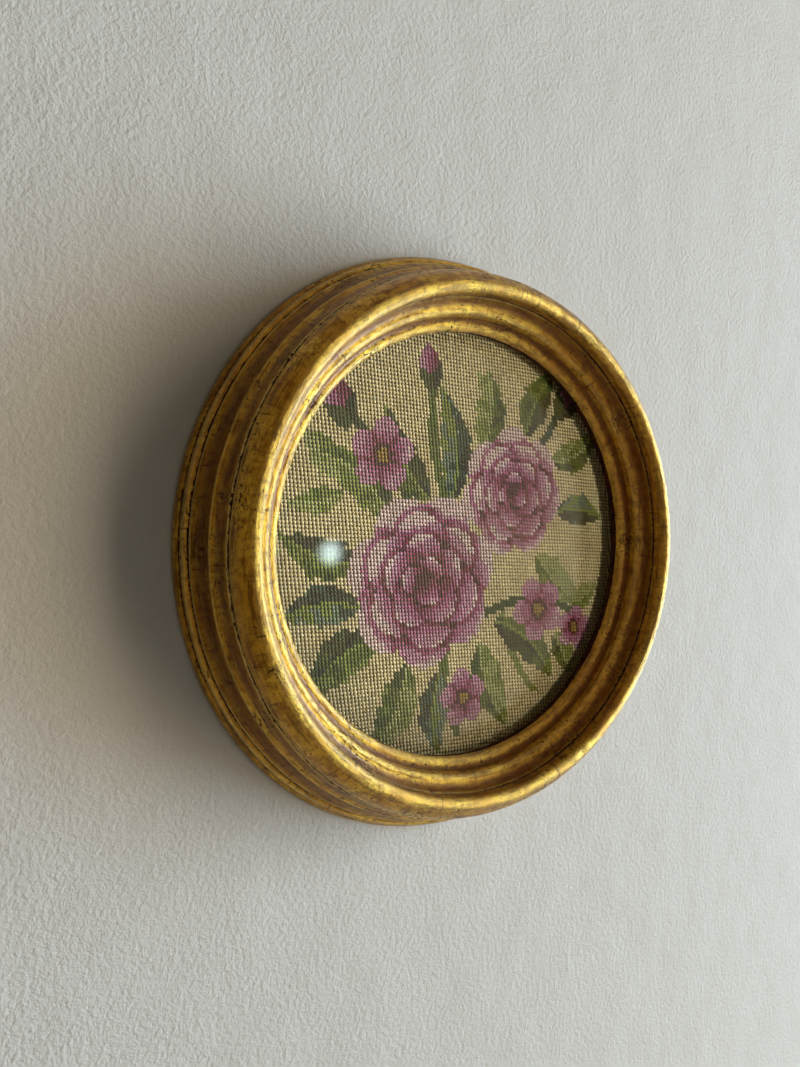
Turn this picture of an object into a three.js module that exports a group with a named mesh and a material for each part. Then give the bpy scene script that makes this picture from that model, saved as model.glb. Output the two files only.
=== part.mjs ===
// A round gilt wood frame that holds a stitched flower picture under domed glass.
// Millimetres. The wall is the plane Y = 0, the front faces -Y and +Z is up.
// Every piece is turned about the Y axis, so a piece is given by its section:
// radius is measured from that axis, and height is measured forward from the wall.

import * as THREE from 'three';

// Driving dimensions
const FRAME_RADIUS = 81.3; // widest point of the moulding, at its back edge
const SIGHT_RADIUS = 59.0; // the opening inside the lip
const REBATE_RADIUS = 62.5; // the recess behind the lip, for glass, cloth and board
const LIP_BACK = 8.2; // where the glass meets the back of the lip
const FIT_GAP = 0.3; // room between neighbouring pieces
const GLASS_THICKNESS = 2.0;
const DOME_RADIUS = 58.2; // where the flat rim of the glass turns into its dome
const DOME_RISE = 6.0;
const CLOTH_THICKNESS = 1.4; // canvas and stitches together
const TURN_SEGMENTS = 72;
const DOME_STEPS = 7;

// Heights of the pieces in the rebate, from the lip back to the wall
const INSERT_RADIUS = REBATE_RADIUS - FIT_GAP;
const GLASS_FRONT = LIP_BACK - FIT_GAP;
const GLASS_BACK = GLASS_FRONT - GLASS_THICKNESS;
const CLOTH_FRONT = GLASS_BACK - FIT_GAP;
const CLOTH_BACK = CLOTH_FRONT - CLOTH_THICKNESS;
const BOARD_FRONT = CLOTH_BACK - FIT_GAP;

// The moulding's section, from the back face round the outside to the rebate.
// Each row ends one member. swell is how far the member bulges out of the wood
// (positive) or is hollowed into it (negative), and steps is its number of flats.
const MOULDING_START = { radius: REBATE_RADIUS, height: 0 };
const MOULDING = [
  { member: 'back face', radius: FRAME_RADIUS - 0.6, height: 0, swell: 0, steps: 1 },
  { member: 'back edge', radius: FRAME_RADIUS, height: 0.8, swell: 0.2, steps: 2 },
  { member: 'back fillet', radius: 80.4, height: 2.2, swell: 0.1, steps: 1 },
  { member: 'side bead', radius: 78.9, height: 4.6, swell: 0.55, steps: 4 },
  { member: 'wide cove', radius: 76.1, height: 11.5, swell: -0.9, steps: 4 },
  { member: 'narrow cove', radius: 73.9, height: 17.4, swell: -0.7, steps: 4 },
  { member: 'roll flank', radius: 70.7, height: 22.1, swell: 0.45, steps: 4 },
  { member: 'roll nose', radius: 67.1, height: 20.6, swell: 1.55, steps: 7 },
  { member: 'quirk wall', radius: 67.1, height: 18.9, swell: 0, steps: 1 },
  { member: 'inner cove', radius: 64.6, height: 15.9, swell: -0.45, steps: 3 },
  { member: 'inner band', radius: 62.8, height: 15.0, swell: 0.25, steps: 2 },
  { member: 'step', radius: 62.4, height: 13.9, swell: 0, steps: 1 },
  { member: 'lip cove', radius: 61.2, height: 12.3, swell: -0.3, steps: 2 },
  { member: 'lip bead', radius: SIGHT_RADIUS, height: 10.3, swell: 0.65, steps: 5 },
  { member: 'lip wall', radius: SIGHT_RADIUS + 0.3, height: LIP_BACK, swell: 0, steps: 1 },
  { member: 'lip back', radius: REBATE_RADIUS, height: LIP_BACK, swell: 0, steps: 1 },
];

// Points of one member after its start, along an arc of the given swell
function memberPoints(start, row) {
  const along = new THREE.Vector2(row.radius - start.radius, row.height - start.height);
  const chord = along.length();
  along.normalize();
  const outward = new THREE.Vector2(along.y, -along.x);
  const points = [];
  for (let step = 1; step <= row.steps; step += 1) {
    let across = (step / row.steps) * chord;
    let rise = 0;
    if (row.swell !== 0) {
      const depth = Math.abs(row.swell);
      const arcRadius = (chord * chord / 4 + depth * depth) / (2 * depth);
      const halfAngle = 2 * Math.atan(2 * depth / chord);
      const angle = halfAngle * (2 * step / row.steps - 1);
      across = chord / 2 + arcRadius * Math.sin(angle);
      rise = Math.sign(row.swell) * (arcRadius * Math.cos(angle) - (arcRadius - depth));
    }
    points.push(new THREE.Vector2(
      start.radius + along.x * across + outward.x * rise,
      start.height + along.y * across + outward.y * rise,
    ));
  }
  return points;
}

// Turns a section about the Y axis. Height in front of the wall becomes -Y, which
// flips the section over, so its points run the other way to keep the faces outward.
function turned(name, section, material) {
  const profile = section.map((point) => new THREE.Vector2(point.x, -point.y)).reverse();
  const mesh = new THREE.Mesh(new THREE.LatheGeometry(profile, TURN_SEGMENTS), material);
  mesh.name = name;
  return mesh;
}

function mouldingSection() {
  const points = [new THREE.Vector2(MOULDING_START.radius, MOULDING_START.height)];
  let start = MOULDING_START;
  for (const row of MOULDING) {
    points.push(...memberPoints(start, row));
    start = row;
  }
  points.push(points[0].clone());
  return points;
}

// Half an arc of a dome, from its rim at the given height in to the axis
function domePoints(rimHeight, riseSteps) {
  const sphereRadius = (DOME_RADIUS * DOME_RADIUS + DOME_RISE * DOME_RISE) / (2 * DOME_RISE);
  const rimAngle = Math.asin(DOME_RADIUS / sphereRadius);
  const points = [];
  for (let step = 0; step <= riseSteps; step += 1) {
    const angle = rimAngle * (1 - step / riseSteps);
    const rise = sphereRadius * (Math.cos(angle) - Math.cos(rimAngle));
    points.push(new THREE.Vector2(sphereRadius * Math.sin(angle), rimHeight + rise));
  }
  points[riseSteps].x = 0;
  return points;
}

function glassSection() {
  const front = domePoints(GLASS_FRONT, DOME_STEPS);
  const back = domePoints(GLASS_BACK, DOME_STEPS).reverse();
  return [
    ...back,
    new THREE.Vector2(INSERT_RADIUS, GLASS_BACK),
    new THREE.Vector2(INSERT_RADIUS, GLASS_FRONT),
    ...front,
  ];
}

function discSection(backHeight, frontHeight) {
  return [
    new THREE.Vector2(0, backHeight),
    new THREE.Vector2(INSERT_RADIUS, backHeight),
    new THREE.Vector2(INSERT_RADIUS, frontHeight),
    new THREE.Vector2(0, frontHeight),
  ];
}

const gilt = new THREE.MeshStandardMaterial({ color: 0xb98a35, roughness: 0.38, metalness: 0.9 });
const clearGlass = new THREE.MeshStandardMaterial({
  color: 0xeef2ee, roughness: 0.04, metalness: 0, transparent: true, opacity: 0.25,
});
const stitching = new THREE.MeshStandardMaterial({ color: 0xbcae84, roughness: 0.9, metalness: 0 });
const brownBoard = new THREE.MeshStandardMaterial({ color: 0x8a6a45, roughness: 0.85, metalness: 0 });

const group = new THREE.Group();
group.add(turned('gilt_moulding', mouldingSection(), gilt));
group.add(turned('domed_glass', glassSection(), clearGlass));
group.add(turned('stitched_cloth', discSection(CLOTH_BACK, CLOTH_FRONT), stitching));
group.add(turned('backing_board', discSection(0, BOARD_FRONT), brownBoard));

export default group;
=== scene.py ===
import math
import random
from collections import namedtuple

import bmesh
import bpy
import numpy as np
from mathutils import Matrix, Vector, noise


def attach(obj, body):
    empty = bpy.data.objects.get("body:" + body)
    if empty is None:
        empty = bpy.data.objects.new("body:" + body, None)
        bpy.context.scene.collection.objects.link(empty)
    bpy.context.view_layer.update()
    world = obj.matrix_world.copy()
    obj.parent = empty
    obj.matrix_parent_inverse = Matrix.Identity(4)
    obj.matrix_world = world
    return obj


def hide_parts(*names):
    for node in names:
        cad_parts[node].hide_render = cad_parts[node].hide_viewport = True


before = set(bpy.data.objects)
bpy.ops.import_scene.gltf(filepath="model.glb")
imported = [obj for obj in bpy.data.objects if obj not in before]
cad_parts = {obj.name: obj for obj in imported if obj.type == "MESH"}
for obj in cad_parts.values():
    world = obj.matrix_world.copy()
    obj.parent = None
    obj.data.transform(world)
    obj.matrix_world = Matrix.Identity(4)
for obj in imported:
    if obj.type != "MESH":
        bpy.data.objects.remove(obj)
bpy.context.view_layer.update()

# A flower picture in tent stitch, behind domed glass in a round gilt wood frame.
# Sizes are in millimetres and become metres where a mesh is made. The wall is the
# plane Y = 0, the picture faces -Y, and height means distance in front of the wall.

MM = 0.001
rng = random.Random(24)

# Sizes of the pieces
REBATE_RADIUS = 62.5
INSERT_RADIUS = 62.2
LIP_BACK = 8.2
GLASS_FRONT = 7.9
GLASS_BACK = 5.9
DOME_RADIUS = 58.2
DOME_RISE = 6.0
DOME_SPHERE = (DOME_RADIUS ** 2 + DOME_RISE ** 2) / (2 * DOME_RISE)
CANVAS_BACK = 4.22
CANVAS_FRONT = 4.72

# The canvas lattice, skewed by the pull of the stitches: one step along a row of
# stitches, and one step up to the next row
ROW_STEP = Vector((1.0651, -0.0853))
COLUMN_STEP = Vector((-0.0829, 1.0376))
WORKED_RADIUS = 61.6
CHART_UNIT = 1.05  # one stitch of the chart
DRIFT = 0.35  # how far the pull of the stitches moves the lattice, in slow waves
DRIFT_WAVES = 0.05

# One stitch, a short slanting bead of thread
STITCH_SLANT = math.radians(124)
STITCH_LENGTH = 1.28
STITCH_WIDTH = 0.80
STITCH_THICKNESS = 0.80
STITCH_MIDDLE = 5.08
END_DIP = 0.32

# How much one stitch differs from the next: its slant in radians, its length and width
# as shares, its height in millimetres and its dye as a share
SLANT_SPREAD = 0.10
LENGTH_SPREAD = 0.04
WIDTH_SPREAD = 0.06
LIFT_SPREAD = 0.03
DYE_SPREAD = 0.06

# Painted shade: a thread is darker down in the canvas than on top of its stitch
LOW_SHADE = 0.62
SHADE_BASE = 4.7
SHADE_DEPTH = 0.6


def linear(code):
    """A colour from its sRGB hex code."""
    values = [int(code[place:place + 2], 16) / 255 for place in (1, 3, 5)]
    return tuple(v / 12.92 if v <= 0.04045 else ((v + 0.055) / 1.055) ** 2.4 for v in values)


def colour(code):
    return (*linear(code), 1.0)


def node(tree, kind, links=None, out=0, **settings):
    """Adds a shader node and returns one of its outputs. links gives its inputs a
    socket or a value."""
    made = tree.nodes.new("ShaderNode" + kind)
    for name, value in settings.items():
        setattr(made, name, value)
    for name, value in (links or {}).items():
        if isinstance(value, bpy.types.NodeSocket):
            tree.links.new(value, made.inputs[name])
        else:
            made.inputs[name].default_value = value
    return made.outputs[out] if made.outputs else None


def new_material(name):
    made = bpy.data.materials.new(name)
    made.use_nodes = True
    made.node_tree.nodes.clear()
    return made, made.node_tree


def put_mesh(name, shape, material):
    """Makes a piece from a bmesh. It rides on the part's one body."""
    data = bpy.data.meshes.new(name)
    shape.to_mesh(data)
    shape.free()
    data.polygons.foreach_set("use_smooth", [True] * len(data.polygons))
    data.materials.append(material)
    return put_piece(name, data)


def put_piece(name, data):
    """Puts a finished mesh in the scene as a piece of the part."""
    piece = bpy.data.objects.new(name, data)
    bpy.context.scene.collection.objects.link(piece)
    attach(piece, "root")
    return piece


# Camera, at the photograph's viewing angle: from the left, close to the wall

CAMERA_PLACE = (-138.07, -188.15, 13.87)
CAMERA_TURN = (87.3815, 1.0895, -32.8956)
CAMERA_SENSOR = 36
CAMERA_LENS = 26.99

camera_data = bpy.data.cameras.new("camera")
camera_data.sensor_width = CAMERA_SENSOR
camera_data.lens = CAMERA_LENS
camera_data.clip_start = 10 * MM
camera = bpy.data.objects.new("camera", camera_data)
camera.location = Vector(CAMERA_PLACE) * MM
camera.rotation_euler = [math.radians(turn) for turn in CAMERA_TURN]
bpy.context.scene.collection.objects.link(camera)
bpy.context.scene.camera = camera


# Materials. MIX_COLOURS picks the colour inputs and output of a Mix node. A noise's
# scale is in waves to the millimetre, so 0.09 gives clouds 11 mm wide.

MIX_COLOURS = {"out": 2, "data_type": "RGBA"}


def millimetres(tree):
    """The piece's own coordinates, in millimetres."""
    place = node(tree, "TexCoord", out="Object")
    return node(tree, "VectorMath", {0: place, "Scale": 1000.0}, operation="SCALE")


def gilded_wood():
    """Water-gilded softwood. Gold leaf over red bole and gesso, burnished and then
    aged: the eye sees deep yellow metal, with a painted highlight making it paler on the
    convex corners, painted brown shade in the hollows and coves, grey wax in some
    hollows, dark flecks where the leaf has gone, and dark bole as painted shade in the
    sharp hollows and on the lip wall beside the glass."""
    made, tree = new_material("gilded_wood")
    place = millimetres(tree)
    marks = {
        name: node(tree, "Attribute", out="Fac", attribute_name=name)
        for name in ("hollow", "hollow_shade", "crest_highlight", "wax", "bare", "section")
    }

    # A place that runs round the ring in X and Z, and along the section in Y. Its
    # stretched copies draw brush marks across the ring, and streaks and grain along it.
    flat = node(tree, "VectorMath", {0: place, 1: (1, 0, 1)}, operation="MULTIPLY")
    unit = node(tree, "VectorMath", {0: flat}, operation="NORMALIZE")
    ring = node(tree, "VectorMath", {0: unit, "Scale": 75.0}, operation="SCALE")
    section = node(tree, "CombineXYZ", {"Y": marks["section"]})
    around = node(tree, "VectorMath", {0: ring, 1: section}, operation="ADD")
    brush_place = node(tree, "VectorMath", {0: around, 1: (1.0, 0.14, 1.0)}, operation="MULTIPLY")
    line_place = node(tree, "VectorMath", {0: around, 1: (0.03, 1.0, 0.03)}, operation="MULTIPLY")
    streak_place = node(tree, "VectorMath", {0: around, 1: (0.14, 1.0, 0.14)}, operation="MULTIPLY")
    fleck_place = node(tree, "VectorMath", {0: around, 1: (0.55, 1.0, 0.55)}, operation="MULTIPLY")

    cloudy = node(tree, "TexNoise", {"Vector": place, "Scale": 0.09, "Detail": 4.0})
    patchy = node(tree, "TexNoise", {"Vector": place, "Scale": 0.45, "Detail": 4.0, "Roughness": 0.62})
    fleck = node(tree, "TexNoise", {"Vector": fleck_place, "Scale": 1.7, "Detail": 4.0, "Roughness": 0.72})
    brushed = node(tree, "TexNoise", {"Vector": brush_place, "Scale": 0.9, "Detail": 3.0, "Roughness": 0.7})
    lines = node(tree, "TexNoise", {"Vector": line_place, "Scale": 1.6})
    streaky = node(tree, "TexNoise", {"Vector": streak_place, "Scale": 0.8, "Detail": 4.0, "Roughness": 0.6})

    # The leaf's colour: each row is a mask, where it starts and is full, its strength
    # and the colour that it brings
    leaf = colour("#CC9228")
    for mask, low, high, strength, code in (
        (cloudy, 0.38, 0.62, 1.0, "#E6B43C"),
        (patchy, 0.46, 0.64, 0.7, "#9A6010"),
        (streaky, 0.48, 0.62, 0.7, "#70400A"),
        (brushed, 0.55, 0.66, 0.5, "#6E400C"),
        # Painted highlight: paler gold on the convex corners
        (marks["crest_highlight"], 0.20, 0.75, 0.5, "#F6DA88"),
        # Painted shade: brown in the hollows and coves
        (marks["hollow_shade"], 0.10, 0.80, 0.85, "#663204"),
    ):
        share = node(tree, "MapRange", {"Value": mask, "From Min": low, "From Max": high, "To Max": strength})
        leaf = node(tree, "Mix", {0: share, 6: leaf, 7: colour(code)}, **MIX_COLOURS)

    # Where the leaf has gone: flecks about half a millimetre wide, crowded into thin dark
    # lines in the hollows, where they are also painted crease shade, and hairlines across
    # the ring. The lip wall beside the glass is darkened all over the same way, as painted
    # shade. Grey wax lies in some hollows.
    leaf_loss_and_shade = node(tree, "Math", {0: marks["hollow"], 1: 0.3, 2: fleck}, operation="MULTIPLY_ADD")
    leaf_loss_and_shade = node(tree, "Math", {0: cloudy, 1: 0.4, 2: leaf_loss_and_shade}, operation="MULTIPLY_ADD")
    flecks_and_shade = node(tree, "MapRange", {"Value": leaf_loss_and_shade, "From Min": 0.80, "From Max": 0.85})
    hairs = node(tree, "MapRange", {"Value": brushed, "From Min": 0.66, "From Max": 0.70, "To Max": 0.7})
    lost_leaf_and_shade = node(tree, "Math", {0: flecks_and_shade, 1: hairs}, operation="MAXIMUM")
    dusty = node(tree, "Math", {0: patchy, 1: 0.9, 2: marks["wax"]}, operation="MULTIPLY_ADD")
    wax = node(tree, "MapRange", {"Value": dusty, "From Min": 0.75, "From Max": 1.35, "To Max": 0.4})

    relief = node(tree, "Math", {0: brushed, 1: 0.3, 2: patchy}, operation="MULTIPLY_ADD")
    relief = node(tree, "Math", {0: fleck, 1: 1.2, 2: relief}, operation="MULTIPLY_ADD")
    relief = node(tree, "Math", {0: lost_leaf_and_shade, 1: -1.0, 2: relief}, operation="MULTIPLY_ADD")
    bump = node(tree, "Bump", {"Height": relief, "Strength": 1.0, "Distance": 0.0003})
    gilt = node(tree, "BsdfPrincipled", {
        "Base Color": leaf,
        "Metallic": 1.0,
        "Roughness": node(tree, "MapRange", {"Value": patchy, "From Min": 0.3, "From Max": 0.7,
                                             "To Min": 0.28, "To Max": 0.44}),
        "Coat Weight": 0.4,
        "Coat Roughness": 0.3,
        "Normal": bump,
    })
    bole_depth = node(tree, "MapRange", {"Value": patchy, "From Min": 0.4, "From Max": 0.6})
    bole = node(tree, "BsdfPrincipled", {
        "Base Color": node(tree, "Mix", {0: bole_depth, 6: colour("#4A1F0E"), 7: colour("#2A1408")},
                           **MIX_COLOURS),
        "Roughness": 0.7,
        "Specular IOR Level": 0.15,
        "Normal": bump,
    })
    waxed = node(tree, "BsdfPrincipled", {
        "Base Color": colour("#8F8478"),
        "Roughness": 0.62,
        "Normal": bump,
    })
    wood = node(tree, "BsdfPrincipled", {
        "Base Color": node(tree, "Mix", {0: lines, 6: colour("#8A6238"), 7: colour("#B08850")},
                           **MIX_COLOURS),
        "Roughness": 0.75,
    })
    surface = gilt
    for share, shader in ((wax, waxed), (lost_leaf_and_shade, bole), (marks["bare"], wood)):
        surface = node(tree, "MixShader", {0: share, 1: surface, 2: shader})
    node(tree, "OutputMaterial", {"Surface": surface})
    return made


def soda_lime_glass():
    """Convex picture glass, pressed and polished: clear, with a faint grey-green cast
    and a thin film of dust. Light from the room reaches the picture through it."""
    made, tree = new_material("soda_lime_glass")
    film = node(tree, "TexNoise", {"Vector": millimetres(tree), "Scale": 0.12, "Detail": 3.0})
    glass = node(tree, "BsdfPrincipled", {
        "Base Color": colour("#F4F8F4"),
        "Roughness": node(tree, "MapRange", {"Value": film, "From Min": 0.4, "From Max": 0.75,
                                             "To Min": 0.02, "To Max": 0.07}),
        "IOR": 1.52,
        "Transmission Weight": 1.0,
    })
    clear = node(tree, "BsdfTransparent", {"Color": (0.95, 0.965, 0.95, 1.0)})
    shadow = node(tree, "LightPath", out="Is Shadow Ray")
    diffuse = node(tree, "LightPath", out="Is Diffuse Ray")
    passes = node(tree, "Math", {0: shadow, 1: diffuse}, operation="MAXIMUM")
    mixed = node(tree, "MixShader", {0: passes, 1: glass, 2: clear})
    node(tree, "OutputMaterial", {"Surface": mixed})
    return made


def stranded_cotton():
    """Stranded embroidery cotton in its dyed colour, two plies a stitch: soft, a little
    silky, with a fine slanting twist and a slight fade from stitch to stitch. Its colour
    carries painted shade down in the canvas and in the grooves of the twist."""
    made, tree = new_material("stranded_cotton")
    place = millimetres(tree)
    # The thread's dye, with painted shade where each stitch goes down into the canvas
    thread = node(tree, "Attribute", out="Color", attribute_name="thread")
    twist = node(tree, "UVMap", uv_map="twist")
    plies = node(tree, "TexWave", {"Vector": twist, "Scale": 2.2, "Distortion": 0.6, "Detail": 1.0},
                 out="Fac", bands_direction="DIAGONAL")
    fibre = node(tree, "TexNoise", {"Vector": place, "Scale": 6.0})
    fade = node(tree, "TexNoise", {"Vector": place, "Scale": 0.07, "Detail": 3.0})
    faded = node(tree, "MapRange", {"Value": fade, "From Min": 0.35, "From Max": 0.75, "To Max": 0.2})
    base = node(tree, "Mix", {0: faded, 6: thread, 7: colour("#B59C6E")}, **MIX_COLOURS)
    # Painted shade: the plies darken the thread in the grooves of its twist, and the fibres vary its tone at
    # random
    depth = node(tree, "Math", {0: fibre, 1: plies}, operation="ADD")
    value = node(tree, "MapRange", {"Value": depth, "From Min": 0.4, "From Max": 1.5,
                                    "To Min": 0.84, "To Max": 1.1})
    cotton = node(tree, "BsdfPrincipled", {
        "Base Color": node(tree, "HueSaturation", {"Color": base, "Value": value}),
        "Roughness": 0.78,
        "Sheen Weight": 0.25,
        "Sheen Roughness": 0.4,
        "Normal": node(tree, "Bump", {"Height": plies, "Strength": 0.6, "Distance": 0.00008}),
    })
    node(tree, "OutputMaterial", {"Surface": cotton})
    return made


def mono_canvas():
    """Stiff cotton needlework canvas, one thread each way, 24 to the inch, browned with
    age. Only a little thread and the holes show between the stitches; the holes are
    painted dark as shade."""
    made, tree = new_material("mono_canvas")
    place = millimetres(tree)
    cell_area = ROW_STEP.x * COLUMN_STEP.y - ROW_STEP.y * COLUMN_STEP.x
    rows = (COLUMN_STEP.y / cell_area, 0.0, -COLUMN_STEP.x / cell_area)
    columns = (-ROW_STEP.y / cell_area, 0.0, ROW_STEP.x / cell_area)
    waves = []
    for across in (rows, columns):
        count = node(tree, "VectorMath", {0: place, 1: across}, out="Value", operation="DOT_PRODUCT")
        turn = node(tree, "Math", {0: count, 1: math.tau}, operation="MULTIPLY")
        waves.append(node(tree, "Math", {0: turn}, operation="COSINE"))
    weave = node(tree, "Math", {0: waves[0], 1: waves[1]}, operation="MAXIMUM")
    # Painted shade: dark in the holes between the threads
    share = node(tree, "MapRange", {"Value": weave, "From Min": -0.6, "From Max": 0.8})
    canvas = node(tree, "BsdfPrincipled", {
        "Base Color": node(tree, "Mix", {0: share, 6: colour("#2C2012"), 7: colour("#7A663E")},
                           **MIX_COLOURS),
        "Roughness": 0.9,
        "Normal": node(tree, "Bump", {"Height": weave, "Strength": 0.8, "Distance": 0.0001}),
    })
    node(tree, "OutputMaterial", {"Surface": canvas})
    return made


def pressed_board():
    """Pressed brown board, cut round: matt, with short pale and dark pulp fibres."""
    made, tree = new_material("pressed_board")
    place = millimetres(tree)
    pulp = node(tree, "TexNoise", {"Vector": place, "Scale": 0.6, "Detail": 5.0, "Roughness": 0.7})
    fibre = node(tree, "TexNoise", {"Vector": place, "Scale": 3.0, "Detail": 3.0})
    base = colour("#8A6A45")
    for mask, low, high, strength, code in (
        (pulp, 0.35, 0.65, 1.0, "#A58358"),
        (fibre, 0.60, 0.72, 0.5, "#5E452A"),
    ):
        share = node(tree, "MapRange", {"Value": mask, "From Min": low, "From Max": high, "To Max": strength})
        base = node(tree, "Mix", {0: share, 6: base, 7: colour(code)}, **MIX_COLOURS)
    board = node(tree, "BsdfPrincipled", {
        "Base Color": base,
        "Roughness": 0.88,
        "Normal": node(tree, "Bump", {"Height": fibre, "Strength": 0.4, "Distance": 0.00006}),
    })
    node(tree, "OutputMaterial", {"Surface": board})
    return made


# Turned pieces. A section is drawn in radius and height and spun about the Y axis.
# swell is how far a member bulges out of the wood, or is hollowed into it if it is
# negative. uneven is how far the gesso makes it wander, bare marks raw wood and wax
# marks hollows that hold grey wax.

Member = namedtuple("Member", "name radius height swell steps uneven bare wax")
MOULDING_START = Vector((REBATE_RADIUS, 0.0))
MOULDING = [
    Member("back face", 80.6, 0.0, 0.0, 6, 0.0, 1.0, 0.0),
    Member("back edge", 81.3, 0.8, 0.22, 4, 0.3, 0.4, 0.0),
    Member("back fillet", 80.45, 2.15, 0.12, 3, 1.0, 0.0, 0.0),
    Member("side line", 80.05, 2.35, 0.0, 1, 1.0, 0.0, 0.0),
    Member("side line", 80.2, 2.75, 0.0, 1, 1.0, 0.0, 0.0),
    Member("side bead", 79.1, 4.35, 0.5, 8, 1.0, 0.0, 0.0),
    Member("back quirk", 78.5, 4.6, 0.0, 1, 1.0, 0.0, 0.0),
    Member("back quirk", 78.7, 5.1, 0.0, 1, 1.0, 0.0, 0.0),
    Member("wide cove", 76.2, 11.25, -0.85, 11, 1.0, 0.0, 0.0),
    Member("cove arris", 75.95, 11.8, 0.14, 3, 1.0, 0.0, 0.0),
    Member("narrow cove", 74.1, 17.05, -0.65, 10, 1.0, 0.0, 0.0),
    Member("outer quirk", 73.4, 17.4, 0.0, 1, 1.0, 0.0, 0.15),
    Member("outer quirk", 73.75, 17.95, 0.0, 1, 1.0, 0.0, 0.15),
    Member("roll flank", 70.7, 22.1, 0.45, 10, 1.0, 0.0, 0.0),
    Member("roll nose", 67.15, 20.6, 1.55, 16, 1.0, 0.0, 0.0),
    Member("quirk wall", 66.95, 19.2, 0.0, 2, 1.0, 0.0, 0.4),
    Member("inner quirk", 67.2, 18.75, 0.0, 1, 1.0, 0.0, 0.3),
    Member("inner quirk", 66.75, 18.45, 0.0, 1, 1.0, 0.0, 0.3),
    Member("inner cove", 64.6, 15.95, -0.42, 8, 1.0, 0.0, 0.0),
    Member("inner band", 62.85, 15.05, 0.25, 6, 1.0, 0.0, 0.0),
    Member("step", 62.45, 13.95, 0.0, 2, 1.0, 0.0, 0.2),
    Member("lip cove", 61.2, 12.3, -0.3, 6, 0.8, 0.0, 0.0),
    Member("lip bead", 59.0, 10.3, 0.65, 12, 0.5, 0.0, 0.0),
    Member("lip wall", 59.3, LIP_BACK, 0.0, 2, 0.0, 0.0, 0.0),
    Member("lip back", REBATE_RADIUS, LIP_BACK, 0.0, 3, 0.0, 1.0, 0.0),
    Member("rebate", REBATE_RADIUS, 0.0, 0.0, 4, 0.0, 1.0, 0.0),
]
MOULDING_TURN_STEPS = 360

# How far a corner of the section is felt: as a dark line, where leaf is lost and
# shade is painted, which starts where the corner turns by a third of a radian, and as
# brown painted shade. A hollowed member gets painted shade by a share of its own depth.
LINE_WIDTH = 0.38
LINE_START = 1 / 3
HOLLOW_SHADE_WIDTH = 1.5
COVE_SHADE = 0.3

# The wall of the lip beside the glass, painted dark bole all over as shade
LIP_WALL_RADIUS = 60.0
LIP_WALL_FRONT = 10.4

# Gesso and hand finishing make each member wander: how far, and waves to the millimetre
Wander = namedtuple("Wander", "push waves")
WANDERS = [
    Wander(0.16, 0.035),
    Wander(0.06, 0.16),
    Wander(0.025, 0.6),
]

# Dents lie on the members that stand out, at a radius and height
DENT_COUNT = 70
DENTED_RINGS = ((69.0, 22.8), (71.5, 21.4), (76.0, 11.5), (79.8, 3.6), (64.0, 15.6))
DENT_WIDTHS = (0.5, 1.3)
DENT_DEPTHS = (0.05, 0.22)
DENT_REACH = 2.5  # a dent is felt out to this many of its widths


def arc_points(start, end, swell, steps):
    """Points after start, on a line or a shallow arc that ends at end."""
    along = end - start
    chord = along.length
    along.normalize()
    outward = Vector((along.y, -along.x))
    points = []
    for step in range(1, steps + 1):
        across, rise = chord * step / steps, 0.0
        if swell:
            depth = abs(swell)
            arc_radius = (chord * chord / 4 + depth * depth) / (2 * depth)
            angle = 2 * math.atan(2 * depth / chord) * (2 * step / steps - 1)
            across = chord / 2 + arc_radius * math.sin(angle)
            rise = math.copysign(arc_radius * math.cos(angle) - arc_radius + depth, swell)
        points.append(start + along * across + outward * rise)
    return points


def turned(points, steps, closed, marks):
    """Spins a section about the Y axis. marks gives each point named numbers."""
    shape = bmesh.new()
    layers = {name: shape.verts.layers.float.new(name) for name in marks}
    line = []
    for place, point in enumerate(points):
        vert = shape.verts.new((point.x * MM, -point.y * MM, 0.0))
        for name, layer in layers.items():
            vert[layer] = marks[name][place]
        line.append(vert)
    edges = [shape.edges.new(pair) for pair in zip(line, line[1:])]
    if closed:
        edges.append(shape.edges.new((line[-1], line[0])))
    bmesh.ops.spin(
        shape, geom=line + edges, cent=(0, 0, 0), axis=(0, 1, 0), dvec=(0, 0, 0),
        angle=math.tau, steps=steps, use_merge=True,
    )
    bmesh.ops.remove_doubles(shape, verts=shape.verts, dist=0.002 * MM)
    bmesh.ops.recalc_face_normals(shape, faces=shape.faces)
    return shape


def corner_turns(points):
    """How sharply a closed section turns at each point, convex corners positive."""
    turns = []
    for place, point in enumerate(points):
        before = point - points[place - 1]
        after = points[(place + 1) % len(points)] - point
        cross = before.x * after.y - before.y * after.x
        turns.append(math.atan2(cross, before.dot(after)))
    return turns


def moulding_dents():
    """Each dent's place, width and depth."""
    dents = []
    for _ in range(DENT_COUNT):
        turn = rng.uniform(0, math.tau)
        radius, height = rng.choice(DENTED_RINGS)
        place = Vector((radius * math.cos(turn), -height, radius * math.sin(turn)))
        dents.append((place, rng.uniform(*DENT_WIDTHS), rng.uniform(*DENT_DEPTHS)))
    return dents


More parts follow.
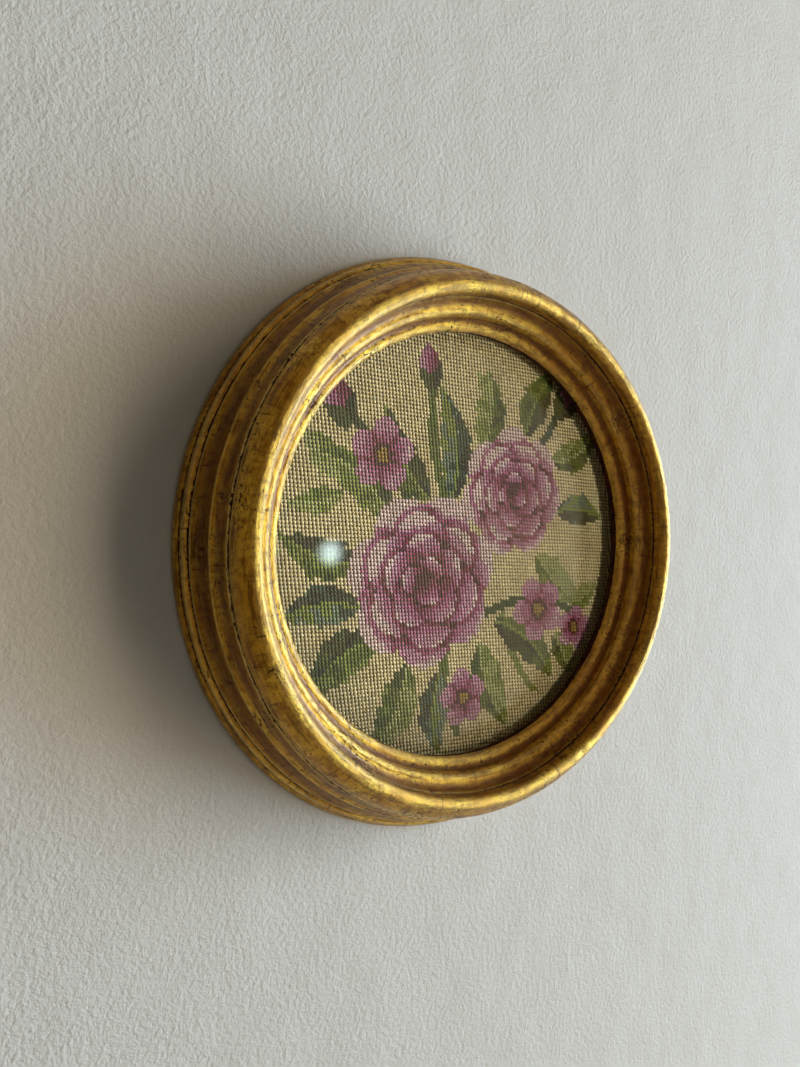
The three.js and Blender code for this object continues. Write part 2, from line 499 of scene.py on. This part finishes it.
def moulding_shape():
    """The moulding, with the numbers that its gilding reads at each point."""
    points, uneven, bare, wax, cove_shade = [MOULDING_START], [0.0], [1.0], [0.0], [0.0]
    start = MOULDING_START
    for member in MOULDING:
        end = Vector((member.radius, member.height))
        points += arc_points(start, end, member.swell, member.steps)
        uneven += [member.uneven] * member.steps
        bare += [member.bare] * member.steps
        wax += [member.wax] * member.steps
        deepest = max(-member.swell, 0.0) * COVE_SHADE
        cove_shade += [deepest * math.sin(math.pi * step / member.steps) for step in range(1, member.steps + 1)]
        start = end
    # The last point is the first one again
    points, uneven, bare, wax = points[:-1], uneven[:-1], bare[:-1], wax[:-1]
    turns = corner_turns(points)
    lengths = [0.0]
    for before, after in zip(points, points[1:]):
        lengths.append(lengths[-1] + (after - before).length)

    def turn_near(place, width):
        """How far the section turns round a point, in radians, hollows negative."""
        total = 0.0
        for other, turn in enumerate(turns):
            total += turn * math.exp(-((points[other] - points[place]).length / width) ** 2)
        return total

    marks = {
        "section": lengths, "uneven": uneven, "bare": bare, "wax": wax,
        "hollow": [], "hollow_shade": [], "crest_highlight": [],
    }
    for place, point in enumerate(points):
        near, wide = turn_near(place, LINE_WIDTH), turn_near(place, HOLLOW_SHADE_WIDTH)
        # Dark lines of lost leaf and painted crease shade in the sharp hollows
        marks["hollow"].append(min(max((-near - LINE_START) / (1 - LINE_START), 0.0), 1.0))
        # Painted shade: the lip wall beside the glass counts as a full hollow, so it turns to dark bole
        if point.x < LIP_WALL_RADIUS and point.y < LIP_WALL_FRONT:
            marks["hollow"][-1] = 1.0
        # Painted highlight on the convex corners
        marks["crest_highlight"].append(min(max(near, 0.0), 1.0))
        # Painted shade in the hollows, deeper in the deep coves
        marks["hollow_shade"].append(min(max(-wide, 0.0) + cove_shade[place], 1.0))
    shape = turned(points, MOULDING_TURN_STEPS, True, marks)

    dents = moulding_dents()
    loose = shape.verts.layers.float["uneven"]
    shape.normal_update()
    for vert in shape.verts:
        share = vert[loose]
        if share == 0.0:
            continue
        place = vert.co / MM
        push = sum(wander.push * noise.noise(place * wander.waves) for wander in WANDERS)
        for middle, width, depth in dents:
            gap = (place - middle).length
            if gap < width * DENT_REACH:
                push -= depth * math.exp(-((gap / width) ** 2))
        vert.co += vert.normal * (push * share * MM)
    return shape


DOME_STEPS = 36
GLASS_TURN_STEPS = 180
GROUND_CORNER = 0.25
CANVAS_RINGS = 48
CANVAS_TURN_STEPS = 144


def dome_points(rim_height, steps):
    """Half an arc of the dome, from the axis out to its rim."""
    rim_angle = math.asin(DOME_RADIUS / DOME_SPHERE)
    points = []
    for step in range(steps + 1):
        angle = rim_angle * step / steps
        rise = DOME_SPHERE * (math.cos(angle) - math.cos(rim_angle))
        points.append(Vector((DOME_SPHERE * math.sin(angle), rim_height + rise)))
    return points


def glass_shape():
    """The pane: its dome, and a flat rim with ground corners."""
    front = dome_points(GLASS_FRONT, DOME_STEPS)
    back = dome_points(GLASS_BACK, DOME_STEPS)
    edge = [
        Vector((INSERT_RADIUS - GROUND_CORNER, GLASS_FRONT)),
        Vector((INSERT_RADIUS, GLASS_FRONT - GROUND_CORNER)),
        Vector((INSERT_RADIUS, GLASS_BACK + GROUND_CORNER)),
        Vector((INSERT_RADIUS - GROUND_CORNER, GLASS_BACK)),
    ]
    return turned(front + edge + back[::-1], GLASS_TURN_STEPS, False, {})


def canvas_shape():
    """The canvas disc, held flat."""
    radii = [INSERT_RADIUS * ring / CANVAS_RINGS for ring in range(CANVAS_RINGS + 1)]
    front = [Vector((radius, CANVAS_FRONT)) for radius in radii]
    back = [Vector((radius, CANVAS_BACK)) for radius in radii[::-8]]
    return turned(front + back, CANVAS_TURN_STEPS, False, {})


# The picture's chart. Every motif is worked out from its own row of a table, in
# stitches from the middle of the picture, x to the right and y up. A motif's threads
# run from its darkest to its lightest.

THREADS = {
    "cream": "#F0DDB0",
    "stone": "#E4D0A2",
    "forest": "#1E2A10",
    "moss": "#3E5218",
    "olive": "#667826",
    "sage": "#8E9C46",
    "pale_sage": "#B6BA78",
    "spruce": "#36503F",
    "grey_green": "#7C8F7A",
    "plum": "#5E1532",
    "wine": "#8E2F56",
    "rose": "#AE4E7C",
    "mauve": "#C2709E",
    "blush": "#D498B8",
    "shell": "#F2D3D6",
    "gold": "#B08A3C",
}
PINKS = ("plum", "wine", "rose", "mauve", "blush", "shell")
PINK_THREADS = set(PINKS) | {"gold"}
GROUND_THREADS = {"cream", "stone"}
DEEP_GREENS = ("forest", "moss", "olive", "sage")
BRIGHT_GREENS = ("moss", "olive", "sage", "pale_sage")
BLUE_GREENS = ("forest", "spruce", "grey_green", "sage")
PALE_GREENS = ("olive", "sage", "pale_sage", "pale_sage")

Leaf = namedtuple("Leaf", "x y heading length width bend threads")
LEAVES = [
    Leaf(-26, -22, 214, 26, 13, 0.30, DEEP_GREENS),
    Leaf(-18, -31, 242, 25, 12, -0.25, BRIGHT_GREENS),
    Leaf(-8, -34, 268, 22, 10, 0.25, BLUE_GREENS),
    Leaf(6, -28, 292, 26, 12, 0.20, BRIGHT_GREENS),
    Leaf(12, -22, 318, 28, 12, -0.30, DEEP_GREENS),
    Leaf(-32, -14, 184, 22, 11, 0.25, BLUE_GREENS),
    Leaf(-31, -4, 158, 24, 11, -0.20, DEEP_GREENS),
    Leaf(-22, 8, 142, 28, 12, 0.30, BRIGHT_GREENS),
    Leaf(-10, 12, 118, 28, 11, -0.25, DEEP_GREENS),
    Leaf(-2, 12, 96, 30, 11, 0.25, BLUE_GREENS),
    Leaf(8, 24, 84, 24, 11, 0.25, BRIGHT_GREENS),
    Leaf(24, 30, 60, 22, 11, -0.20, DEEP_GREENS),
    Leaf(34, 22, 26, 20, 10, 0.25, BRIGHT_GREENS),
    Leaf(36, 8, 352, 18, 10, -0.25, BLUE_GREENS),
    Leaf(28, -4, 318, 24, 11, 0.20, PALE_GREENS),
    Leaf(14, 30, 112, 18, 8, 0.20, PALE_GREENS),
    Leaf(-37, 18, 128, 15, 8, 0.15, PALE_GREENS),
    Leaf(-36, 14, 186, 15, 7, -0.15, PALE_GREENS),
    Leaf(40, -20, 26, 13, 7, 0.15, PALE_GREENS),
    Leaf(34, -28, 296, 14, 8, -0.15, BRIGHT_GREENS),
]

Stem = namedtuple("Stem", "x y end_x end_y sag width thread")
STEMS = [
    Stem(-14, 2, -34, 34, 4.0, 1.3, "moss"),
    Stem(-2, 6, -8, 44, -3.0, 1.2, "olive"),
    Stem(20, 20, 37, 38, 2.0, 1.3, "spruce"),
    Stem(6, -20, 42, -22, -4.0, 1.2, "moss"),
    Stem(-4, -22, -2, -52, 3.5, 1.3, "olive"),
    Stem(14, -20, 26, -44, 2.0, 1.0, "sage"),
]

Bud = namedtuple("Bud", "x y heading length width")
BUDS = [
    Bud(-33, 31, 118, 14, 9),
    Bud(-8, 41, 98, 12, 7),
    Bud(36, 36, 48, 12, 9),
]

Blossom = namedtuple("Blossom", "x y size turn")
BLOSSOMS = [
    Blossom(-24, 24, 9.5, 10),
    Blossom(28, -20, 9.5, 40),
    Blossom(42, -27, 6.5, 5),
    Blossom(0, -42, 8.0, 25),
]

Bloom = namedtuple("Bloom", "x y size turn")
BLOOMS = [
    Bloom(-12, -9, 23, 12),
    Bloom(19, 14, 18, 40),
]

# Rings of petals, from the outside in, as shares of the bloom's size
Petals = namedtuple("Petals", "count reach length width turn")
PETAL_RINGS = [
    Petals(7, 0.62, 0.40, 0.40, 0),
    Petals(6, 0.44, 0.36, 0.34, 24),
    Petals(5, 0.27, 0.29, 0.27, 8),
    Petals(3, 0.11, 0.19, 0.17, 40),
]


def direction(degrees):
    return Vector((math.cos(math.radians(degrees)), math.sin(math.radians(degrees))))


def thread_for(threads, shade):
    """The thread of a shade from 0, darkest, to 1, lightest."""
    return threads[min(max(int(shade * len(threads)), 0), len(threads) - 1)]


def bloom_thread(spot, bloom):
    """A double flower with rings of overlapping petals, lighter towards each rim."""
    offset = (spot - Vector((bloom.x, bloom.y))) / bloom.size
    if offset.length > 1.05:
        return None
    shade = None
    for ring in PETAL_RINGS:
        for petal in range(ring.count):
            outward = direction(360 * petal / ring.count + ring.turn + bloom.turn)
            gap = offset - outward * ring.reach
            along, across = gap.dot(outward), gap.x * outward.y - gap.y * outward.x
            edge = math.hypot(along / ring.length, across / ring.width)
            if edge < 1:
                shade = 0.42 + 1.15 * along / (2 * ring.length) + 0.30 * (ring.reach - 0.35)
                shade += 0.14 * offset.dot(Vector((-0.6, 0.8)))
                if abs(across) < 0.02 and along < 0:
                    shade -= 0.15
            elif edge < 1.18 and shade is not None:
                shade -= 0.24
    if shade is None:
        return None
    ripple = noise.noise(Vector((spot.x, spot.y, bloom.size)) * 0.35)
    return thread_for(PINKS, shade + 0.10 * ripple)


def blossom_thread(spot, blossom):
    """A single flower of five notched petals round a yellow eye."""
    offset = spot - Vector((blossom.x, blossom.y))
    angle = math.atan2(offset.y, offset.x) - math.radians(blossom.turn)
    share = offset.length / blossom.size
    petal = abs(math.cos(2.5 * angle))
    if share > 0.62 + 0.38 * math.sqrt(petal):
        return None
    if share < 0.20:
        return "gold"
    if share < 0.32:
        return "plum"
    shade = 0.18 + 0.75 * share
    if petal < 0.25:
        shade -= 0.30
    if share > 0.86:
        shade -= 0.12
    return thread_for(PINKS, shade + 0.10 * noise.noise(Vector((spot.x, spot.y, 3.0)) * 0.4))


def bud_thread(spot, bud):
    """A closed bud in a green cup."""
    heading = direction(bud.heading)
    gap = spot - Vector((bud.x, bud.y))
    along = gap.dot(heading) / bud.length
    across = (gap.x * heading.y - gap.y * heading.x) / (bud.width / 2)
    if not 0 <= along <= 1:
        return None
    if abs(across) > math.sin(math.pi * min(along * 0.9 + 0.08, 1)) ** 0.7:
        return None
    if along < 0.34 + 0.22 * abs(across):
        return "forest" if across > 0.2 else "moss"
    return thread_for(PINKS, 0.45 - 0.38 * across + 0.25 * (along - 0.5))


def leaf_thread(spot, leaf):
    """A toothed leaf, darker on one side of its rib."""
    heading = direction(leaf.heading)
    gap = spot - Vector((leaf.x, leaf.y))
    along = gap.dot(heading) / leaf.length
    if not 0 < along < 1:
        return None
    rib = leaf.bend * leaf.length * math.sin(math.pi * along) * 0.35
    across = gap.x * heading.y - gap.y * heading.x - rib
    teeth = 1 - 0.24 * ((along * 4) % 1)
    edge = leaf.width / 2 * math.sin(math.pi * along ** 0.8) * teeth
    if abs(across) > edge + 0.3:
        return None
    if abs(across) < 0.6:
        return leaf.threads[3]
    shade = 0.66 if across < 0 else 0.26
    shade += 0.34 * (along - 0.4)
    shade += 0.42 * noise.noise(Vector((spot.x, spot.y, leaf.heading)) * 0.30)
    return thread_for(leaf.threads, shade)


def stem_thread(spot, stem):
    start, end = Vector((stem.x, stem.y)), Vector((stem.end_x, stem.end_y))
    span = end - start
    heading = span.normalized()
    gap = spot - start
    along = gap.dot(heading) / span.length
    if not 0 <= along <= 1:
        return None
    across = gap.x * heading.y - gap.y * heading.x - stem.sag * math.sin(math.pi * along)
    return stem.thread if abs(across) < stem.width else None


CHART_LAYERS = [
    (bloom_thread, BLOOMS),
    (blossom_thread, BLOSSOMS),
    (bud_thread, BUDS),
    (leaf_thread, LEAVES),
    (stem_thread, STEMS),
]


def charted_thread(spot):
    """The thread of the first motif that covers a spot, or of the ground."""
    for finder, motifs in CHART_LAYERS:
        for motif in motifs:
            found = finder(spot, motif)
            if found:
                return found
    return "stone" if noise.noise(Vector((spot.x, spot.y, 9.0)) * 0.12) > 0.18 else "cream"


Stitch = namedtuple("Stitch", "x z thread")


def worked_stitches():
    """Every stitch's place in the picture and its thread."""
    stitches = []
    reach = int(WORKED_RADIUS) + 6
    for row in range(-reach, reach + 1):
        for column in range(-reach, reach + 1):
            place = ROW_STEP * column + COLUMN_STEP * row
            if place.length > WORKED_RADIUS:
                continue
            wave = Vector((place.x, place.y, 0.0)) * DRIFT_WAVES
            drift = Vector((noise.noise(wave), noise.noise(wave + Vector((7, 3, 5))))) * DRIFT
            spot = place / CHART_UNIT
            place = place + drift
            stitches.append(Stitch(place.x, place.y, charted_thread(spot)))
    return stitches


def stitch_piece(name, stitches, material):
    """Joins one small bead of thread for each stitch into a piece."""
    bead = bmesh.new()
    bmesh.ops.create_uvsphere(bead, u_segments=4, v_segments=4, radius=0.5)
    bead.verts.ensure_lookup_table()
    corners = np.array([tuple(vert.co) for vert in bead.verts])
    faces = [[vert.index for vert in face.verts] for face in bead.faces]
    bead.free()
    along, across, up = corners[:, 2], corners[:, 0], corners[:, 1]

    count, size = len(stitches), len(corners)
    places = np.zeros((count, size, 3))
    colours = np.ones((count, size, 4))
    for index, stitch in enumerate(stitches):
        slant = STITCH_SLANT + rng.gauss(0, SLANT_SPREAD)
        length = STITCH_LENGTH * rng.gauss(1, LENGTH_SPREAD)
        width = STITCH_WIDTH * rng.gauss(1, WIDTH_SPREAD)
        lift = rng.gauss(0, LIFT_SPREAD)
        forward = np.array((math.cos(slant), math.sin(slant)))
        sideways = np.array((forward[1], -forward[0]))
        flat = np.outer(along * length, forward) + np.outer(across * width, sideways)
        height = STITCH_MIDDLE + lift + up * STITCH_THICKNESS - END_DIP * (2 * along) ** 2
        places[index, :, 0] = stitch.x + flat[:, 0]
        places[index, :, 1] = -height
        places[index, :, 2] = stitch.z + flat[:, 1]
        tint = np.array(linear(THREADS[stitch.thread])) * rng.gauss(1, DYE_SPREAD)
        # Painted shade: darker towards the canvas
        shade = LOW_SHADE + (1 - LOW_SHADE) * np.clip((height - SHADE_BASE) / SHADE_DEPTH, 0, 1)
        colours[index, :, :3] = tint * shade[:, None]

    data = bpy.data.meshes.new(name)
    starts = np.arange(count)[:, None] * size
    tiled = [(np.array(face) + starts).tolist() for face in faces]
    data.from_pydata((places.reshape(-1, 3) * MM).tolist(), [], [face for kind in tiled for face in kind])
    # Each stitch's dye times its painted shade
    thread = data.color_attributes.new("thread", "FLOAT_COLOR", "POINT")
    thread.data.foreach_set("color", colours.ravel())
    twist = data.uv_layers.new(name="twist")
    around = np.arctan2(up, across) / math.tau
    corner_of = np.zeros(len(data.loops), dtype=int)
    data.loops.foreach_get("vertex_index", corner_of)
    corner_of %= size
    twist.data.foreach_set("uv", np.stack((along[corner_of] * 1.3, around[corner_of]), axis=1).ravel())
    data.polygons.foreach_set("use_smooth", [True] * len(data.polygons))
    data.materials.append(material)
    data.validate()
    return put_piece(name, data)


# The frame and what it holds

moulding = put_mesh("gilded_moulding", moulding_shape(), gilded_wood())
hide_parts("gilt_moulding")

glass = put_mesh("convex_glass", glass_shape(), soda_lime_glass())
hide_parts("domed_glass")

canvas = put_mesh("needlework_canvas", canvas_shape(), mono_canvas())
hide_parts("stitched_cloth")

cotton = stranded_cotton()
stitches = worked_stitches()
families = (
    ("ground_stitches", GROUND_THREADS),
    ("flower_stitches", PINK_THREADS),
    ("leaf_stitches", set(THREADS) - GROUND_THREADS - PINK_THREADS),
)
for name, threads in families:
    piece = stitch_piece(name, [stitch for stitch in stitches if stitch.thread in threads], cotton)
    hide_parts("stitched_cloth")

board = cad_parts["backing_board"]
board_material = pressed_board()
for slot in board.material_slots:
    slot.material = board_material


# Stage: a pale floor and a pale plastered backdrop. The backdrop has a hole behind
# the frame and is clear from behind, so that the back of the frame can be seen.

HOLE_RADIUS = 80.7
BACKDROP_REACH = 900
BACKDROP_GAP = 0.1
FLOOR_HALF_WIDTH = 550
FLOOR_HEIGHT = -600


def stage_piece(name, data, material):
    data.materials.append(material)
    piece = bpy.data.objects.new(name, data)
    bpy.context.scene.collection.objects.link(piece)
    return piece


def painted_plaster():
    """Rolled emulsion paint on plaster: matt off-white with a fine orange-peel."""
    made, tree = new_material("painted_plaster")
    place = millimetres(tree)
    peel = node(tree, "TexNoise", {"Vector": place, "Scale": 0.7, "Detail": 4.0, "Roughness": 0.62})
    trowel = node(tree, "TexNoise", {"Vector": place, "Scale": 0.05})
    relief = node(tree, "Math", {0: trowel, 1: 1.5, 2: peel}, operation="MULTIPLY_ADD")
    paint = node(tree, "BsdfPrincipled", {
        "Base Color": colour("#CDCBC8"),
        "Roughness": 0.85,
        "Normal": node(tree, "Bump", {"Height": relief, "Strength": 0.7, "Distance": 0.0005}),
    })
    side = node(tree, "NewGeometry", out="Backfacing")
    clear = node(tree, "BsdfTransparent", {"Color": (1.0, 1.0, 1.0, 1.0)})
    mixed = node(tree, "MixShader", {0: side, 1: paint, 2: clear})
    node(tree, "OutputMaterial", {"Surface": mixed})
    return made


def painted_floor():
    """Matt emulsion paint on boards: pale and even."""
    made, tree = new_material("painted_floor")
    cast = node(tree, "TexNoise", {"Vector": millimetres(tree), "Scale": 0.01})
    paint = node(tree, "BsdfPrincipled", {
        "Base Color": node(tree, "Mix", {0: cast, 6: colour("#D8D7D3"), 7: colour("#E0DFDB")},
                           **MIX_COLOURS),
        "Roughness": 0.8,
    })
    node(tree, "OutputMaterial", {"Surface": paint})
    return made


def backdrop_mesh():
    """A wide disc with a round hole, facing the viewer."""
    shape = bmesh.new()
    bmesh.ops.create_circle(shape, segments=96, radius=HOLE_RADIUS * MM)
    rim = bmesh.ops.extrude_edge_only(shape, edges=shape.edges[:])["geom"]
    for vert in rim:
        if isinstance(vert, bmesh.types.BMVert):
            vert.co *= BACKDROP_REACH / HOLE_RADIUS
    bmesh.ops.rotate(shape, verts=shape.verts, cent=(0, 0, 0),
                     matrix=Matrix.Rotation(math.pi / 2, 3, "X"))
    bmesh.ops.translate(shape, verts=shape.verts, vec=(0, BACKDROP_GAP * MM, 0))
    for face in shape.faces:
        face.normal_update()
        if face.normal.y > 0:
            face.normal_flip()
    data = bpy.data.meshes.new("backdrop")
    shape.to_mesh(data)
    shape.free()
    return data


def floor_mesh():
    shape = bmesh.new()
    bmesh.ops.create_grid(shape, x_segments=1, y_segments=1, size=FLOOR_HALF_WIDTH * MM)
    bmesh.ops.translate(shape, verts=shape.verts, vec=(0, 0, FLOOR_HEIGHT * MM))
    data = bpy.data.meshes.new("floor")
    shape.to_mesh(data)
    shape.free()
    return data


stage_piece("backdrop", backdrop_mesh(), painted_plaster())
stage_piece("floor", floor_mesh(), painted_floor())


# Soft daylight from a window on the right, which grazes the wall, warm light from the
# room, a small far lamp whose mirror image sits on the left of the glass, and a fill
# that lights the back

def mirrored_place(spot_x, spot_z, distance):
    """Where a lamp stands for the camera to see it mirrored at a spot of the dome."""
    drop = DOME_SPHERE - math.hypot(spot_x, spot_z) ** 2 / (2 * DOME_SPHERE)
    middle_height = GLASS_FRONT - math.sqrt(DOME_SPHERE ** 2 - DOME_RADIUS ** 2)
    spot = Vector((spot_x, -(middle_height + drop), spot_z)) * MM
    normal = (spot - Vector((0, -middle_height * MM, 0))).normalized()
    sight = (camera.location - spot).normalized()
    return spot + (2 * normal.dot(sight) * normal - sight) * distance


ORIGIN = (0, 0, 0)
GLARE_PLACE = mirrored_place(-44.0, 0.2, 1.5)
DAYLIGHT = (0.57, 0.79, 1.0)
LAMPLIGHT = (1.0, 0.86, 0.63)
COOL_WHITE = (0.80, 1.0, 0.95)
WHITE = (1.0, 1.0, 1.0)

# Places and sizes are in metres. A lamp that isn't mirrored lights the scene, but
# doesn't show in the gilding or the glass.
Lamp = namedtuple("Lamp", "name shape place target width height watts tint mirrored")
LAMPS = [
    Lamp("window", "RECTANGLE", (2.19, -0.68, -0.25), ORIGIN, 0.66, 1.7, 85, DAYLIGHT, True),
    Lamp("room_glow", "RECTANGLE", (1.63, -1.14, -0.17), ORIGIN, 0.75, 2.4, 39, LAMPLIGHT, False),
    Lamp("far_lamp", "DISK", GLARE_PLACE, (-0.044, -0.01, 0), 0.16, 0.16, 0.16, COOL_WHITE, True),
    Lamp("back_fill", "RECTANGLE", (-0.5, 1.1, 0.4), ORIGIN, 0.8, 0.8, 9, WHITE, True),
]
for row in LAMPS:
    light = bpy.data.lights.new(row.name, "AREA")
    light.shape = row.shape
    light.use_nodes = True
    light.size, light.size_y = row.width, row.height
    light.energy = row.watts
    light.color = row.tint
    lamp = bpy.data.objects.new(row.name, light)
    lamp.location = row.place
    lamp.visible_glossy = lamp.visible_transmission = row.mirrored
    lamp.rotation_euler = (Vector(row.target) - Vector(row.place)).to_track_quat("-Z", "Y").to_euler()
    bpy.context.scene.collection.objects.link(lamp)

# A soft spot on the picture alone, through the opening
SPOT_PLACE = Vector((0.51, -1.08, -0.10))
SPOT_TARGET = Vector((0.006, 0, 0.006))
spot = bpy.data.lights.new("picture_spot", "SPOT")
spot.energy = 62
spot.color = (1.0, 0.93, 0.80)
spot.spot_size = math.radians(6.0)
spot.spot_blend = 0.15
spot.shadow_soft_size = 0.012
lamp = bpy.data.objects.new("picture_spot", spot)
lamp.location = SPOT_PLACE
lamp.visible_glossy = lamp.visible_transmission = False
lamp.rotation_euler = (SPOT_TARGET - SPOT_PLACE).to_track_quat("-Z", "Y").to_euler()
bpy.context.scene.collection.objects.link(lamp)

# The far lamp fades out towards its edge, so that its mirror image is soft
tree = bpy.data.lights["far_lamp"].node_tree
across = node(tree, "VectorMath", {0: node(tree, "NewGeometry", out="Parametric"), 1: (0.5, 0.5, 0)},
              out="Value", operation="DISTANCE")
fade = node(tree, "MapRange", {"Value": across, "From Min": 0.5, "From Max": 0.05, "To Max": 4.0},
            interpolation_type="SMOOTHSTEP")
tree.links.new(fade, tree.nodes["Emission"].inputs["Strength"])

# The room is brightest to the front and right. The gilding and glass mirror more of
# it than the wall and the stitches receive.
ROOM_SIDE = (0.77, -0.63, -0.09)
world = bpy.data.worlds.new("room")
world.use_nodes = True
tree = world.node_tree
facing = node(tree, "VectorMath", {0: node(tree, "TexCoord", out="Generated"), 1: ROOM_SIDE},
              out="Value", operation="DOT_PRODUCT")
lit = node(tree, "MapRange", {
    "Value": facing, "From Min": 0.5, "From Max": 1.0, "To Min": 0.09, "To Max": 0.15,
}, interpolation_type="SMOOTHSTEP")
seen = node(tree, "MapRange", {
    "Value": facing, "From Min": -0.3, "From Max": 0.8, "To Min": 0.06, "To Max": 0.46,
}, interpolation_type="SMOOTHSTEP")
mirror_ray = node(tree, "LightPath", out="Is Glossy Ray")
strength = node(tree, "Mix", {0: mirror_ray, 2: lit, 3: seen})
tree.links.new(strength, tree.nodes["Background"].inputs["Strength"])
tree.nodes["Background"].inputs["Color"].default_value = (1.0, 0.84, 0.60, 1.0)
bpy.context.scene.world = world
bpy.context.scene.view_settings.view_transform = "Standard"
